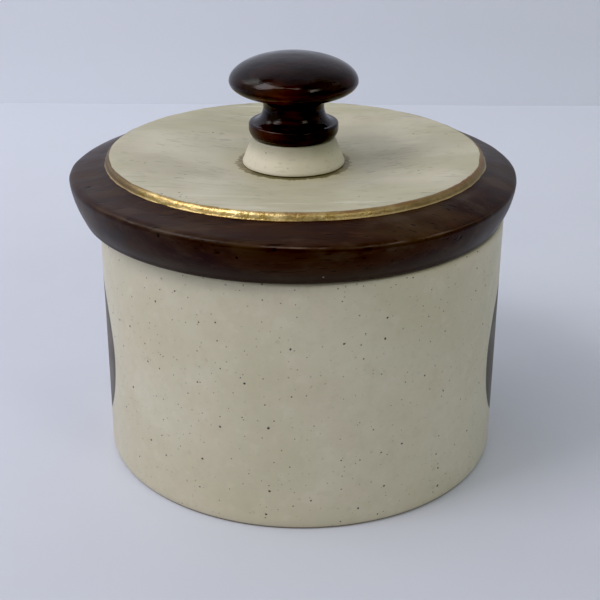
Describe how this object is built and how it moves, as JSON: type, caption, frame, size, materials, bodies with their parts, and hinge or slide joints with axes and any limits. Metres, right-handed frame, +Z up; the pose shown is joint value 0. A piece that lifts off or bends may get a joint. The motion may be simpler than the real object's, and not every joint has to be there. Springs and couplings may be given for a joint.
{
  "type": "food canister",
  "caption": "Squat round stoneware canister with a loose lift-off lid: turned dark wooden ring, dished cream panel, cone collar and mushroom knob.",
  "frame": {"origin": "middle of the jar's flat base, on the surface that it stands on", "axes": "+Z up along the jar's centre line; X and Y are level, and the lid lies 2.6 mm off centre towards -X"},
  "size_m": [0.1386, 0.1386, 0.1275],
  "materials": {
    "speckled_glaze": "satin",
    "cream_painted_wood": "satin",
    "stained_wood": "satin",
    "polished_stained_wood": "gloss",
    "bare_wood": "matte",
    "rubber": "matte",
    "zinc_plated_steel": "satin",
    "gold_paint": "satin"
  },
  "bodies": {
    "jar": {"jar_body": "speckled_glaze"},
    "lid_seal": {"seal_ring": "rubber"},
    "lid": {"lid_ring": "stained_wood", "lid_panel": "cream_painted_wood", "knob_collar": "cream_painted_wood", "knob": "polished_stained_wood", "lid_plug": "bare_wood", "screw_washer": "zinc_plated_steel", "knob_screw": "zinc_plated_steel"}
  },
  "joints": [
    {"name": "lid_lift", "type": "slide", "parent": "jar", "child": "lid_seal", "axis": [0, 0, 1], "range_m": [0, 0.1]},
    {"name": "lid_turn", "type": "hinge", "parent": "lid_seal", "child": "lid", "pos_m": [-0.0026, 0, 0.08], "axis": [0, 0, 1], "continuous": true}
  ]
}
